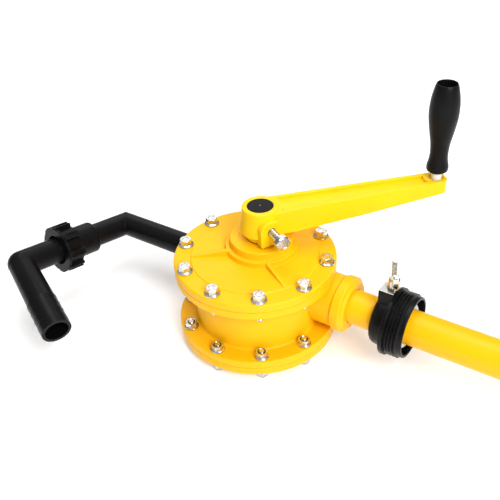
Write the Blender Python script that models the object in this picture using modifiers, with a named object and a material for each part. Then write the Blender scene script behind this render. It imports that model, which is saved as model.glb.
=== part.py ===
"""Hand-cranked rotary vane drum pump with a clamped drum bung, a swivelling outlet spout and a screwed suction tube.

Every length below is in millimetres and is turned into metres by mm() and at(). The lay-out frame has its zero at the
centre of the top cover's upper face, +Z out of the cover towards the crank and +X along the suction tube. at() moves
that frame so that the part's origin is the centre of the bung's shoulder, on the tube's axis.
"""

import math

import bmesh
import bpy
from mathutils import Matrix, Vector

# ---------------------------------------------------------------- driving dimensions (mm)
PORT_Y, PORT_Z = 20.2, -38.8            # suction and outlet ports lie on one line along X
SHOULDER_X = 133.5                      # bung shoulder face, the part's origin
GAP = 0.3                               # clearance between touching pieces

COVER_R, COVER_T = 75.0, 7.5
FLANGE_T = 7.5
STACK_H = 80.7                          # outer face of top cover to outer face of bottom cover
BARREL_R, CHAMBER_R = 58.0, 52.0
RING_R, RING_CORD = 56.0, 1.1           # cover sealing rings

BOLT_N, BOLT_PCD_R, BOLT_R = 10, 67.0, 3.0
BOLT_FLANGE_R, BOLT_AF, BOLT_HEAD_H = 7.1, 10.0, 6.6
NUT_FLANGE_R, NUT_H = 6.7, 5.6
PORT_BOLTS = (2, 8)                     # these two stand over a port, so they screw into its spigot
SHORT_TOP, SHORT_LOW = -19.6, -60.0
LONG_TOP = -18.0                        # tips of the upper screws, just through the casing's flange

SHAFT_X, SHAFT_Y, SHAFT_R = 0.0, 12.0, 8.0
SHAFT_LOW, SHAFT_TOP = -82.6, 38.2
ROTOR_R, VANE_N, VANE_T = 39.5, 4, 5.0

BOSS1_R, BOSS1_H, BOSS2_R, BOSS2_H = 34.0, 6.0, 29.3, 13.0

HUB_R, HUB_LOW, HUB_TOP = 16.8, 20.5, 45.5
HUB_FOOT_R, NECK_R, NECK_LOW = 19.3, 14.5, 13.5
CAP_R, CAP_H = 11.9, 6.0
ARM_ANGLE, ARM_LEN = 46.85, 169.4
CLAMP_ANGLE, CLAMP_Z = -29.5, 28.8

SPIGOT_R, SPIGOT_END = 24.5, 80.0
COLLAR_R, COLLAR_END = 26.5, 92.3
TUBE_R, TUBE_BORE_R = 16.0, 13.0
TUBE_START, TUBE_1, TUBE_2, TUBE_3 = 62.3, 400.0, 700.0, 980.0
SOCKET_R, SOCKET_L = 19.2, 28.0
FOOT_END = 1005.0

OUTLET_R1, OUTLET_R2, OUTLET_BORE = 11.8, 12.3, 9.8
ELBOW1 = Vector((-182.6, PORT_Y, PORT_Z))
DIR2 = Vector((-0.1633, -0.9757, 0.1458)).normalized()
DIR3 = Vector((0.8838, -0.4046, -0.2351)).normalized()
LEG2, LEG3 = 128.4, 91.1
ELBOW2 = ELBOW1 + DIR2 * LEG2

SEG_BIG, SEG_MID, SEG_SMALL = 36, 20, 8

# ---------------------------------------------------------------- clean start
for old in list(bpy.data.objects):
    bpy.data.objects.remove(old, do_unlink=True)
part = bpy.data.collections.new("drum_barrel_pump")
bpy.context.scene.collection.children.link(part)
bpy.context.scene.unit_settings.system = "METRIC"


def mm(v):
    return v * 0.001


def at(x, y, z):
    return Vector((mm(x - SHOULDER_X), mm(y - PORT_Y), mm(z - PORT_Z)))


def material(name, rgb, rough, metal=0.0):
    m = bpy.data.materials.new(name)
    m.use_nodes = True
    shader = m.node_tree.nodes["Principled BSDF"]
    shader.inputs["Base Color"].default_value = (*rgb, 1.0)
    shader.inputs["Roughness"].default_value = rough
    shader.inputs["Metallic"].default_value = metal
    m.diffuse_color = (*rgb, 1.0)
    return m


YELLOW = material("yellow_plastic", (0.90, 0.56, 0.01), 0.42)
LEMON = material("crank_yellow_plastic", (0.93, 0.66, 0.01), 0.40)
BLACK = material("black_plastic", (0.018, 0.018, 0.019), 0.45)
ZINC = material("zinc_plated_steel", (0.78, 0.78, 0.76), 0.28, 1.0)
STEEL = material("turned_steel", (0.62, 0.62, 0.62), 0.30, 1.0)
RUBBER = material("nitrile_rubber", (0.02, 0.02, 0.02), 0.75)
GREY = material("grey_seal_plastic", (0.55, 0.55, 0.54), 0.50)
ROTOR = material("rotor_plastic", (0.80, 0.78, 0.70), 0.50)
VANE = material("vane_plastic", (0.12, 0.12, 0.12), 0.40)


# ---------------------------------------------------------------- mesh helpers, all in millimetres
def evaluated(obj):
    """The object's mesh with its modifiers or curve settings worked out, as a bmesh; the object is removed."""
    graph = bpy.context.evaluated_depsgraph_get()
    data = bpy.data.meshes.new_from_object(obj.evaluated_get(graph))
    bm = bmesh.new()
    bm.from_mesh(data)
    bpy.data.meshes.remove(data)
    source = obj.data
    bpy.data.objects.remove(obj, do_unlink=True)
    (bpy.data.meshes if isinstance(source, bpy.types.Mesh) else bpy.data.curves).remove(source)
    bmesh.ops.remove_doubles(bm, verts=bm.verts[:], dist=1e-4)
    bmesh.ops.recalc_face_normals(bm, faces=bm.faces[:])
    return bm


def lathe(points, segs):
    """A closed (radius, height) outline turned about Z with a Screw modifier."""
    data = bpy.data.meshes.new("profile")
    pairs = [(i, (i + 1) % len(points)) for i in range(len(points))]
    pairs = [(a, b) for a, b in pairs if points[a][0] > 1e-9 or points[b][0] > 1e-9]
    data.from_pydata([(r, 0.0, h) for r, h in points], pairs, [])
    obj = bpy.data.objects.new("profile", data)
    bpy.context.scene.collection.objects.link(obj)
    screw = obj.modifiers.new("turn", "SCREW")
    screw.axis, screw.angle = "Z", math.tau
    screw.steps = screw.render_steps = segs
    screw.use_merge_vertices, screw.merge_threshold = True, 0.0001
    return evaluated(obj)


def cylinder(r, z0, z1, segs, x=0.0, y=0.0, turn=0.0):
    bm = bmesh.new()
    bmesh.ops.create_cone(bm, cap_ends=True, cap_tris=False, segments=segs, radius1=r, radius2=r, depth=z1 - z0)
    bmesh.ops.rotate(bm, verts=bm.verts[:], cent=(0, 0, 0), matrix=Matrix.Rotation(turn, 3, "Z"))
    bmesh.ops.translate(bm, verts=bm.verts[:], vec=(x, y, (z0 + z1) / 2))
    return bm


def cylinder_x(r, x0, x1, segs, y=0.0, z=0.0, r2=None):
    bm = bmesh.new()
    bmesh.ops.create_cone(bm, cap_ends=True, segments=segs, radius1=r, radius2=r if r2 is None else r2, depth=x1 - x0)
    bmesh.ops.rotate(bm, verts=bm.verts[:], cent=(0, 0, 0), matrix=Matrix.Rotation(math.pi / 2, 3, "Y"))
    bmesh.ops.translate(bm, verts=bm.verts[:], vec=((x0 + x1) / 2, y, z))
    return bm


def box(x0, x1, y0, y1, z0, z1):
    bm = bmesh.new()
    bmesh.ops.create_cube(bm, size=1.0)
    bmesh.ops.scale(bm, verts=bm.verts[:], vec=(x1 - x0, y1 - y0, z1 - z0))
    bmesh.ops.translate(bm, verts=bm.verts[:], vec=((x0 + x1) / 2, (y0 + y1) / 2, (z0 + z1) / 2))
    return bm


def prism(outline, z0, z1):
    """A filled 2D outline of (x, y) points, as thick as z0 to z1."""
    data = bpy.data.curves.new("outline", "CURVE")
    data.dimensions, data.fill_mode, data.extrude = "2D", "BOTH", (z1 - z0) / 2
    spline = data.splines.new("POLY")
    spline.points.add(len(outline) - 1)
    for point, (x, y) in zip(spline.points, outline):
        point.co = (x, y, 0.0, 1.0)
    spline.use_cyclic_u = True
    obj = bpy.data.objects.new("outline", data)
    bpy.context.scene.collection.objects.link(obj)
    return moved(evaluated(obj), 0.0, 0.0, (z0 + z1) / 2)


def rod(start, end, radius, sides):
    """A straight cylinder from one point to another."""
    bm = bmesh.new()
    run = end - start
    bmesh.ops.create_cone(bm, cap_ends=True, segments=sides, radius1=radius, radius2=radius, depth=run.length)
    bm.transform(Matrix.Translation((start + end) / 2) @ Vector((0, 0, 1)).rotation_difference(run).to_matrix().to_4x4())
    return bm


def mitred(start, corner, end, radius, sides):
    """Two straight rods that meet on the plane halving their angle: one is built, the other is its mirror image."""
    into, out = (corner - start).normalized(), (end - corner).normalized()
    plane = (into + out).normalized()
    turn = Vector((0, 0, 1)).rotation_difference(plane).to_matrix().to_4x4()
    mirror = Matrix.Translation(corner) @ Matrix.Scale(-1, 4, plane) @ Matrix.Translation(-corner)
    halves = []
    for length, mirrored in (((corner - start).length, False), ((end - corner).length, True)):
        half = rod(corner - into * length, corner + into * radius * 2.0, radius, sides)
        block = box(-200.0, 200.0, -200.0, 200.0, 0.0, 400.0)
        block.transform(Matrix.Translation(corner) @ turn)
        half = cut(half, block)
        if mirrored:
            half.transform(mirror)
        halves.append(half)
    joined = merged(*halves)
    bmesh.ops.remove_doubles(joined, verts=joined.verts[:], dist=1e-2)
    inner = [f for f in joined.faces if all(abs((v.co - corner).dot(plane)) < 1e-2 for v in f.verts)]
    bmesh.ops.delete(joined, geom=inner, context="FACES")
    bmesh.ops.recalc_face_normals(joined, faces=joined.faces[:])
    return joined


def turned(bm, angle, axis, cent=(0, 0, 0)):
    bmesh.ops.rotate(bm, verts=bm.verts[:], cent=cent, matrix=Matrix.Rotation(angle, 3, axis))
    return bm


def moved(bm, x, y, z):
    bmesh.ops.translate(bm, verts=bm.verts[:], vec=(x, y, z))
    return bm


def merged(*parts):
    """Several separate solids in one cutting mesh."""
    out = bmesh.new()
    for piece in parts:
        data = bpy.data.meshes.new("piece")
        piece.to_mesh(data)
        out.from_mesh(data)
        bpy.data.meshes.remove(data)
        piece.free()
    return out


def solid(bm):
    data = bpy.data.meshes.new("work")
    bm.to_mesh(data)
    bm.free()
    obj = bpy.data.objects.new("work", data)
    bpy.context.scene.collection.objects.link(obj)
    return obj


def combined(first, second, operation):
    """The exact Boolean of two closed solids."""
    a, b = solid(first), solid(second)
    step = a.modifiers.new("cut", "BOOLEAN")
    step.object, step.operation, step.solver = b, operation, "EXACT"
    graph = bpy.context.evaluated_depsgraph_get()
    data = bpy.data.meshes.new_from_object(a.evaluated_get(graph))
    out = bmesh.new()
    out.from_mesh(data)
    for obj in (a, b):
        mesh = obj.data
        bpy.data.objects.remove(obj, do_unlink=True)
        bpy.data.meshes.remove(mesh)
    bpy.data.meshes.remove(data)
    bmesh.ops.remove_doubles(out, verts=out.verts[:], dist=2e-3)
    bmesh.ops.dissolve_degenerate(out, edges=out.edges[:], dist=1e-3)
    return out


def union(*parts):
    out = parts[0]
    for piece in parts[1:]:
        out = combined(out, piece, "UNION")
    return out


def cut(first, *cutters):
    for cutter in cutters:
        first = combined(first, cutter, "DIFFERENCE")
    return first


def lever(plan, side):
    """A bar given by its plan outline (x, y) and its side outline (x, z)."""
    flat = prism(plan, 0.0, 80.0)
    tall = turned(prism(side, -40.0, 40.0), math.pi / 2, "X")
    return combined(flat, tall, "INTERSECT")


def bolt_holes(blind_at_ports):
    made = []
    for i in range(BOLT_N):
        a = math.pi / 2 + i * math.tau / BOLT_N
        spans = [(-95.0, 12.0)]
        if blind_at_ports and i in PORT_BOLTS:
            spans = [(SHORT_TOP - 0.5, 12.0), (-95.0, SHORT_LOW + 0.5)]
        for low_z, high_z in spans:
            made.append(
                cylinder(BOLT_R + 0.45, low_z, high_z, 8, BOLT_PCD_R * math.cos(a), BOLT_PCD_R * math.sin(a))
            )
    return merged(*made)


def place(name, bm, mat, location, rotation=None, smooth_angle=32.0, mesh=None):
    if mesh is None:
        bmesh.ops.scale(bm, verts=bm.verts[:], vec=(0.001, 0.001, 0.001))
        mesh = bpy.data.meshes.new(name)
        bm.to_mesh(mesh)
        bm.free()
        mesh.shade_smooth()
        mesh.set_sharp_from_angle(angle=math.radians(smooth_angle))
        mesh.materials.append(mat)
    obj = bpy.data.objects.new(name, mesh)
    obj.location = location
    if rotation is not None:
        obj.rotation_mode = "QUATERNION"
        obj.rotation_quaternion = rotation
    part.objects.link(obj)
    return obj


Z_FLANGE_TOP = -(COVER_T + GAP)                  # casing's upper sealing face
Z_FLANGE_UNDER = Z_FLANGE_TOP - FLANGE_T
Z_BASE_COVER = -(STACK_H - COVER_T)              # bottom cover's inner face
Z_CASING_LOW = Z_BASE_COVER + GAP
Z_LOW_FLANGE = Z_CASING_LOW + FLANGE_T

# ---------------------------------------------------------------- casing
groove = 1.5
casing = lathe(
    [
        (CHAMBER_R, Z_FLANGE_TOP), (RING_R - groove, Z_FLANGE_TOP), (RING_R - groove, Z_FLANGE_TOP - 2.5),
        (RING_R + groove, Z_FLANGE_TOP - 2.5), (RING_R + groove, Z_FLANGE_TOP), (COVER_R, Z_FLANGE_TOP),
        (COVER_R, Z_FLANGE_UNDER + 1.2), (COVER_R - 1.2, Z_FLANGE_UNDER), (BARREL_R + 2.0, Z_FLANGE_UNDER),
        (BARREL_R, Z_FLANGE_UNDER - 2.0), (BARREL_R, Z_LOW_FLANGE + 2.0), (BARREL_R + 2.0, Z_LOW_FLANGE),
        (COVER_R - 1.2, Z_LOW_FLANGE), (COVER_R, Z_LOW_FLANGE - 1.2), (COVER_R, Z_CASING_LOW),
        (RING_R + groove, Z_CASING_LOW),
        (RING_R + groove, Z_CASING_LOW + 2.5), (RING_R - groove, Z_CASING_LOW + 2.5), (RING_R - groove, Z_CASING_LOW),
        (CHAMBER_R, Z_CASING_LOW),
    ],
    SEG_BIG,
)
# spigots reach into the barrel wall but stay clear of the chamber surface before they are bored
casing = union(
    casing,
    cut(cylinder_x(SPIGOT_R, 40.0, SPIGOT_END, 24, PORT_Y, PORT_Z), cylinder(CHAMBER_R + 2.0, -100.0, 20.0, 36)),
    cut(cylinder_x(22.0, -72.0, -40.0, 20, PORT_Y, PORT_Z), cylinder(CHAMBER_R + 2.0, -100.0, 20.0, 36)),
)
casing = cut(
    casing,
    cylinder_x(12.6, 30.0, 70.0, SEG_MID, PORT_Y, PORT_Z),
    cylinder_x(TUBE_R + GAP, TUBE_START - GAP, SPIGOT_END + 5.0, SEG_MID, PORT_Y, PORT_Z),
    cylinder_x(9.4, -70.0, -30.0, 16, PORT_Y, PORT_Z),
    cylinder_x(OUTLET_R1 + 0.2 + GAP, -80.0, -60.0, 20, PORT_Y, PORT_Z),
    bolt_holes(True),
)
place("pump_casing", casing, YELLOW, at(0, 0, 0))

# ---------------------------------------------------------------- covers
top = lathe(
    [
        (0, -COVER_T), (COVER_R, -COVER_T), (COVER_R, -1.8), (COVER_R - 1.8, 0.0), (59.3, 0.0), (58.6, 0.9), (0, 0.9),
    ],
    SEG_BIG,
)
boss = lathe(
    [
        (0, -3.0), (BOSS1_R, -3.0), (BOSS1_R - 0.3, BOSS1_H - 0.7), (BOSS1_R - 1.0, BOSS1_H), (BOSS2_R, BOSS1_H),
        (BOSS2_R - 0.4, BOSS2_H - 0.8), (BOSS2_R - 1.2, BOSS2_H), (0, BOSS2_H),
    ],
    32,
)
top = union(top, moved(boss, SHAFT_X, SHAFT_Y, 0.0))
# stiffening ribs run out from the cover's centre and thin down towards their ends
for angle, root in ((-144.0, 26.0), (-30.5, 26.0), (92.75, 45.0)):
    rib = lever(
        [(root - 9.0, -2.4), (root, -2.4), (58.0, -1.3), (58.0, 1.3), (root, 2.4), (root - 9.0, 2.4)],
        [(root - 9.0, 0.0), (58.0, 0.0), (58.0, 1.5), (root, 5.8), (root - 9.0, 5.8)],
    )
    top = union(top, turned(rib, math.radians(angle), "Z"))
top = cut(
    top,
    cylinder(SHAFT_R + GAP, -20.0, 30.0, SEG_MID, SHAFT_X, SHAFT_Y),
    cylinder(14.0, 6.7, 30.0, SEG_MID, SHAFT_X, SHAFT_Y),
    bolt_holes(False),
)
place("top_cover", top, YELLOW, at(0, 0, 0))

low = lathe(
    [
        (0, Z_BASE_COVER), (COVER_R, Z_BASE_COVER), (COVER_R, -STACK_H + 1.8), (COVER_R - 1.8, -STACK_H),
        (0, -STACK_H),
    ],
    SEG_BIG,
)
low_boss = lathe([(0, -78.0), (20.0, -78.0), (19.0, -86.0), (17.5, -87.5), (0, -87.5)], SEG_MID)
low = union(low, moved(low_boss, SHAFT_X, SHAFT_Y, 0.0))
low = cut(low, cylinder(SHAFT_R + GAP, SHAFT_LOW - GAP, 0.0, SEG_MID, SHAFT_X, SHAFT_Y), bolt_holes(False))
place("bottom_cover", low, YELLOW, at(0, 0, 0))


def sealing_ring():
    return lathe(
        [(RING_R + RING_CORD * math.cos(a), RING_CORD * math.sin(a)) for a in [math.tau * (k + 0.5) / 6 for k in range(6)]], SEG_BIG
    )


place("top_cover_ring", sealing_ring(), RUBBER, at(0, 0, Z_FLANGE_TOP - RING_CORD - 0.02))
place("bottom_cover_ring", sealing_ring(), RUBBER, at(0, 0, Z_CASING_LOW + RING_CORD + 0.02))


# ---------------------------------------------------------------- cover fasteners
def hexagon(af, z0, z1, turn=0.0):
    return cylinder(af / 2 / math.cos(math.pi / 6), z0, z1, 6, turn=turn)


def screw_head(up):
    """A flanged hexagon head standing on z=0, growing along +Z or -Z."""
    head = union(cylinder(BOLT_FLANGE_R, 0.0, 1.2, SEG_SMALL), hexagon(BOLT_AF, 0.6, BOLT_HEAD_H))
    if not up:
        turned(head, math.pi, "X")
    return head


upper_short = union(moved(screw_head(True), 0, 0, GAP), cylinder(BOLT_R, SHORT_TOP, 1.0, 6))
lower_short = union(
    moved(screw_head(False), 0, 0, -STACK_H - GAP), cylinder(BOLT_R, -STACK_H - 1.0, SHORT_LOW, 6)
)
# upper set: screws that go through the cover and into the casing's flange
upper = union(moved(screw_head(True), 0, 0, GAP), cylinder(BOLT_R, LONG_TOP, 1.0, 6))
# lower set: screw from below, separate nut on the casing's lower flange
lower = moved(screw_head(False), 0, 0, -STACK_H - GAP)
lower = union(lower, cylinder(BOLT_R, -STACK_H - 1.0, Z_LOW_FLANGE + 7.4, 6))
nut = cut(
    union(cylinder(NUT_FLANGE_R, 0.0, 1.2, SEG_SMALL), hexagon(BOLT_AF, 0.6, NUT_H)),
    cylinder(BOLT_R + 0.45, -2.0, 8.0, 8),
)
shared = {}
for i in range(BOLT_N):
    a = math.pi / 2 + i * math.tau / BOLT_N
    x, y = BOLT_PCD_R * math.cos(a), BOLT_PCD_R * math.sin(a)
    spin = Matrix.Rotation(math.radians((17, 44, 3, 52, 28, 10, 37, 57, 22, 48)[i]), 3, "Z").to_quaternion()
    kinds = [("cover_bolt", upper, 0.0), ("base_bolt", lower, 0.0), ("base_nut", nut, Z_LOW_FLANGE + GAP)]
    if i in PORT_BOLTS:
        kinds = [("cover_bolt", upper_short, 0.0), ("base_bolt", lower_short, 0.0)]
    for kind, bm, z in kinds:
        name = f"{kind}_{i + 1:02d}"
        key = (kind, i in PORT_BOLTS)
        if key in shared:
            place(name, None, ZINC, at(x, y, z), spin, mesh=shared[key])
        else:
            shared[key] = place(name, bm, ZINC, at(x, y, z), spin).data

# ---------------------------------------------------------------- rotor, shaft, vanes, shaft seal
ROT_TOP, ROT_LOW = -COVER_T - 0.5, Z_BASE_COVER + 0.5
rotor = lathe(
    [
        (SHAFT_R + GAP, ROT_TOP), (ROTOR_R - 0.5, ROT_TOP), (ROTOR_R, ROT_TOP - 0.5), (ROTOR_R, ROT_LOW + 0.5),
        (ROTOR_R - 0.5, ROT_LOW), (SHAFT_R + GAP, ROT_LOW),
    ],
    SEG_BIG,
)
slots = []
for i in range(VANE_N):
    slots.append(
        turned(box(16.0, 50.0, -VANE_T / 2 - GAP, VANE_T / 2 + GAP, -100.0, 20.0), math.radians(45 + 90 * i), "Z")
    )
rotor = cut(rotor, *slots)
place("rotor", rotor, ROTOR, at(SHAFT_X, SHAFT_Y, 0))

shaft = lathe(
    [
        (0, SHAFT_LOW), (SHAFT_R - 1.0, SHAFT_LOW), (SHAFT_R, SHAFT_LOW + 1.0), (SHAFT_R, SHAFT_TOP - 1.0),
        (SHAFT_R - 1.0, SHAFT_TOP), (0, SHAFT_TOP),
    ],
    SEG_MID,
)
place("rotor_shaft", shaft, STEEL, at(SHAFT_X, SHAFT_Y, 0))

vane_data = None
for i in range(VANE_N):
    turn = Matrix.Rotation(math.radians(45 + 90 * i), 3, "Z").to_quaternion()
    bm = None
    if vane_data is None:
        bm = box(16.8, ROTOR_R - 0.3, -VANE_T / 2, VANE_T / 2, ROT_LOW + 0.1, ROT_TOP - 0.1)
    made = place(f"vane_{i + 1}", bm, VANE, at(SHAFT_X, SHAFT_Y, 0), turn, mesh=vane_data)
    vane_data = made.data

seal = lathe(
    [
        (SHAFT_R + GAP, 7.0), (13.7, 7.0), (13.7, 12.6), (11.8, 12.6), (11.2, 11.8), (SHAFT_R + GAP, 12.0),
    ],
    SEG_MID,
)
place("shaft_seal", seal, RUBBER, at(SHAFT_X, SHAFT_Y, 0))

# ---------------------------------------------------------------- crank arm, built with its arm along +X and then turned
END_X = ARM_LEN


def bevelled(bm, width):
    obj = solid(bm)
    step = obj.modifiers.new("edges", "BEVEL")
    step.width, step.segments, step.limit_method, step.angle_limit = width, 1, "ANGLE", math.radians(50)
    return evaluated(obj)


ARM_TIP = END_X + 8.6
arm = lever(
    [
        (0.0, -15.6), (30.0, -14.6), (ARM_TIP - 4.5, -9.5), (ARM_TIP - 1.3, -8.0), (ARM_TIP, -4.9),
        (ARM_TIP, 4.9), (ARM_TIP - 1.3, 8.0), (ARM_TIP - 4.5, 9.5), (30.0, 14.6), (0.0, 15.6),
    ],
    [
        (0.0, 20.9), (30.0, 20.9), (100.0, 24.8), (ARM_TIP, 31.3), (ARM_TIP, 44.4), (100.0, 44.3), (0.0, 43.8),
    ],
)
arm = bevelled(arm, 0.7)
# the trough in the arm's upper face, between its two edge ribs, from the hub to the seat of the grip's spindle
trough = lever(
    [(0.0, -11.2), (30.0, -10.6), (END_X, -5.7), (END_X, 5.7), (30.0, 10.6), (0.0, 11.2)],
    [(0.0, 41.3), (END_X, 41.6), (END_X, 60.0), (0.0, 60.0)],
)
trough = cut(trough, cylinder(20.5, 30.0, 70.0, 28), cylinder(12.0, 30.0, 70.0, 24, END_X, 0.0))
hub = lathe(
    [
        (0, NECK_LOW), (NECK_R - 0.6, NECK_LOW), (NECK_R, NECK_LOW + 0.8), (NECK_R, HUB_LOW), (HUB_FOOT_R - 0.6, HUB_LOW),
        (HUB_FOOT_R, HUB_LOW + 0.8), (HUB_R + 0.5, 34.0), (HUB_R, HUB_TOP - 1.2), (HUB_R - 1.2, HUB_TOP), (0, HUB_TOP),
    ],
    28,
)
crank = union(hub, arm)
# clamp boss: arched block on the hub's side, carrying the clamp bolt
arch = [(-10.8, 14.3), (10.8, 14.3), (11.2, 29.4)] + [
    (11.2 * math.cos(a), 29.4 + 10.0 * math.sin(a)) for a in [math.pi * k / 8 for k in range(1, 8)]
] + [(-11.2, 29.4)]
clamp_boss = prism(arch, 0.0, 21.5)
# stand the outline up: outline x -> sideways, outline y -> up, depth -> outwards
clamp_boss.transform(Matrix(((0, 0, 1, 0), (1, 0, 0, 0), (0, 1, 0, 0), (0, 0, 0, 1))))
bmesh.ops.recalc_face_normals(clamp_boss, faces=clamp_boss.faces[:])
turned(clamp_boss, math.radians(CLAMP_ANGLE - ARM_ANGLE), "Z")
crank = union(crank, clamp_boss)
clamp_hole = turned(cylinder_x(4.3, 2.0, 40.0, 20, 0.0, CLAMP_Z), math.radians(CLAMP_ANGLE - ARM_ANGLE), "Z")
crank = cut(
    crank,
    trough,
    cylinder(SHAFT_R + GAP, 5.0, SHAFT_TOP + GAP, SEG_MID),
    cylinder(CAP_R + GAP, HUB_TOP - CAP_H - GAP, 60.0, SEG_MID),
    clamp_hole,
    cylinder(4.3, 34.0, 60.0, 20, END_X, 0.0),
    cylinder(6.9, 42.9, 60.0, 20, END_X, 0.0),
)
CRANK_Q = Matrix.Rotation(math.radians(ARM_ANGLE), 3, "Z").to_quaternion()
place("crank_arm", crank, LEMON, at(SHAFT_X, SHAFT_Y, 0), CRANK_Q)

cap = lathe(
    [
        (0, HUB_TOP - CAP_H), (CAP_R - 0.4, HUB_TOP - CAP_H), (CAP_R, HUB_TOP - CAP_H + 0.4), (CAP_R, HUB_TOP - 0.6),
        (CAP_R - 0.6, HUB_TOP), (1.3, HUB_TOP + 0.4), (0.9, HUB_TOP), (0, HUB_TOP),
    ],
    SEG_MID,
)
place("crank_cap", cap, BLACK, at(SHAFT_X, SHAFT_Y, 0))

clamp = union(
    cylinder(4.0, SHAFT_R + GAP, 37.5, 20),
    combined(
        hexagon(13.0, 37.0, 42.4),
        lathe([(0, 36.0), (7.0, 36.0), (7.0, 41.6), (6.2, 42.4), (0, 42.4)], 20),
        "INTERSECT",
    ),
)
clamp_q = (
    Matrix.Rotation(math.radians(CLAMP_ANGLE), 3, "Z") @ Matrix.Rotation(math.pi / 2, 3, "Y")
).to_quaternion()
place("crank_clamp_bolt", clamp, ZINC, at(SHAFT_X, SHAFT_Y, CLAMP_Z), clamp_q)

# ---------------------------------------------------------------- grip and its spindle
GRIP_X = SHAFT_X + ARM_LEN * math.cos(math.radians(ARM_ANGLE))
GRIP_Y = SHAFT_Y + ARM_LEN * math.sin(math.radians(ARM_ANGLE))
spindle = lathe(
    [
        (0, 34.3), (4.0, 34.3), (4.0, 43.2), (5.0, 43.2), (5.0, 51.3), (4.0, 51.3), (4.0, 97.3), (6.8, 97.3),
        (6.8, 100.2), (0, 100.2),
    ],
    16,
)
place("grip_spindle", spindle, ZINC, at(GRIP_X, GRIP_Y, 0))
grip = lathe(
    [
        (4.3, 51.6), (8.9, 51.6), (10.1, 53.4), (10.0, 57.2), (8.6, 63.5), (8.25, 70.0), (9.0, 80.0),
        (11.5, 95.0), (13.1, 106.5), (13.2, 115.5), (12.0, 125.5), (9.9, 134.8), (8.9, 136.7), (8.3, 136.7),
        (8.3, 97.0), (4.3, 97.0),
    ],
    SEG_MID,
)
place("hand_grip", grip, BLACK, at(GRIP_X, GRIP_Y, 0))

# ---------------------------------------------------------------- suction side, turned about +X
LINE = at(0, PORT_Y, PORT_Z)


def along_x(points, segs=SEG_MID):
    """Outline of (x, radius) points turned about the tube's axis."""
    bm = lathe([(r, x) for x, r in points], segs)
    bmesh.ops.rotate(bm, verts=bm.verts[:], cent=(0, 0, 0), matrix=Matrix.Rotation(math.pi / 2, 3, "Y"))
    return bm


collar = along_x(
    [
        (80.3, 16.3), (80.3, 25.6), (81.2, COLLAR_R), (88.6, COLLAR_R), (90.6, 24.0), (COLLAR_END, 21.6),
        (COLLAR_END, 16.3),
    ],
    24,
)
place("suction_collar", collar, YELLOW, LINE)

upper_tube = along_x([(TUBE_START, TUBE_BORE_R), (TUBE_START, TUBE_R), (TUBE_1, TUBE_R), (TUBE_1, TUBE_BORE_R)])
place("suction_tube_upper", upper_tube, YELLOW, LINE)


def socketed(start, end):
    s = start - SOCKET_L
    return along_x(
        [
            (s, TUBE_R + GAP), (s, SOCKET_R - 0.8), (s + 0.8, SOCKET_R), (start + 4.0, SOCKET_R), (start + 9.0, TUBE_R),
            (end, TUBE_R), (end, TUBE_BORE_R), (start + GAP, TUBE_BORE_R), (start + GAP, TUBE_R + GAP),
        ]
    )


place("suction_tube_middle", socketed(TUBE_1, TUBE_2), YELLOW, LINE)
place("suction_tube_lower", socketed(TUBE_2, TUBE_3), YELLOW, LINE)

foot = along_x(
    [
        (TUBE_3 - 25.0, TUBE_R + GAP), (TUBE_3 - 25.0, 18.8), (TUBE_3 - 24.0, 19.6), (FOOT_END - 2.0, 19.6),
        (FOOT_END, 17.6), (FOOT_END, 0.0), (FOOT_END - 3.0, 0.0), (FOOT_END - 3.0, TUBE_BORE_R),
        (TUBE_3 + GAP, TUBE_BORE_R), (TUBE_3 + GAP, TUBE_R + GAP),
    ]
)
slits = []
for i in range(6):
    for x0 in (TUBE_3 + 4.0, TUBE_3 + 13.0):
        slits.append(turned(box(x0, x0 + 5.0, -1.4, 1.4, 10.0, 30.0), math.tau * (i + 0.5) / 6, "X"))
foot = cut(foot, merged(*slits))
place("foot_strainer", foot, BLACK, LINE)

# ---------------------------------------------------------------- drum bung
adapter = along_x(
    [
        (116.6, TUBE_R + GAP), (116.6, 21.4), (118.4, 23.6), (121.5, 24.8), (129.6, 25.2), (129.6, 31.2),
        (SHOULDER_X, 31.2), (SHOULDER_X, 29.95), (132.9, 29.95), (132.9, 28.2), (134.8, 28.2), (135.8, 29.8),
        (137.2, 28.2), (138.8, 29.8), (140.2, 28.2), (141.8, 29.8), (143.2, 28.2), (144.8, 29.8), (146.2, 28.2),
        (150.0, 28.0), (150.0, 25.6), (139.6, 25.6), (139.6, 20.6), (133.2, 20.6), (133.2, TUBE_R + GAP),
    ],
    28,
)
# block for the clamp screw, wider on one side
adapter = union(adapter, cut(box(118.6, 132.6, -9.8, 4.5, 12.0, 36.3), cylinder_x(20.0, 100.0, 150.0, 28)))
WING_X = 128.5
adapter = cut(adapter, cylinder(4.3, 10.0, 60.0, 12, WING_X, 0.0))
place("bung_adapter", adapter, BLACK, LINE)
place(
    "tube_seal",
    along_x([(133.5, TUBE_R + GAP), (133.5, 20.3), (145.4, 20.3), (146.5, 19.2), (146.5, TUBE_R + GAP)]),
    GREY,
    LINE,
)

wing = lathe(
    [
        (0, TUBE_R + GAP), (4.0, TUBE_R + GAP), (4.0, 37.1), (5.6, 37.1), (5.2, 45.5), (4.2, 46.6), (0, 46.6),
    ],
    16,
)
ear = [
    (1.0, 38.6), (4.6, 38.4), (8.5, 41.0), (12.4, 46.8), (14.0, 52.2), (13.6, 56.2), (11.4, 58.4), (8.8, 57.6),
    (6.8, 53.2), (4.0, 46.0), (1.0, 44.6),
]
for side in (1, -1):
    outline = [(x * side, z) for x, z in ear]
    blade = prism(outline if side > 0 else outline[::-1], -2.4, 2.4)
    turned(blade, math.pi / 2, "X")
    bmesh.ops.recalc_face_normals(blade, faces=blade.faces[:])
    wing = union(wing, blade)
WING_Q = Matrix.Rotation(math.radians(-64.0), 3, "Z").to_quaternion()
place("wing_bolt", wing, ZINC, at(WING_X, PORT_Y, PORT_Z), WING_Q)

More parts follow.
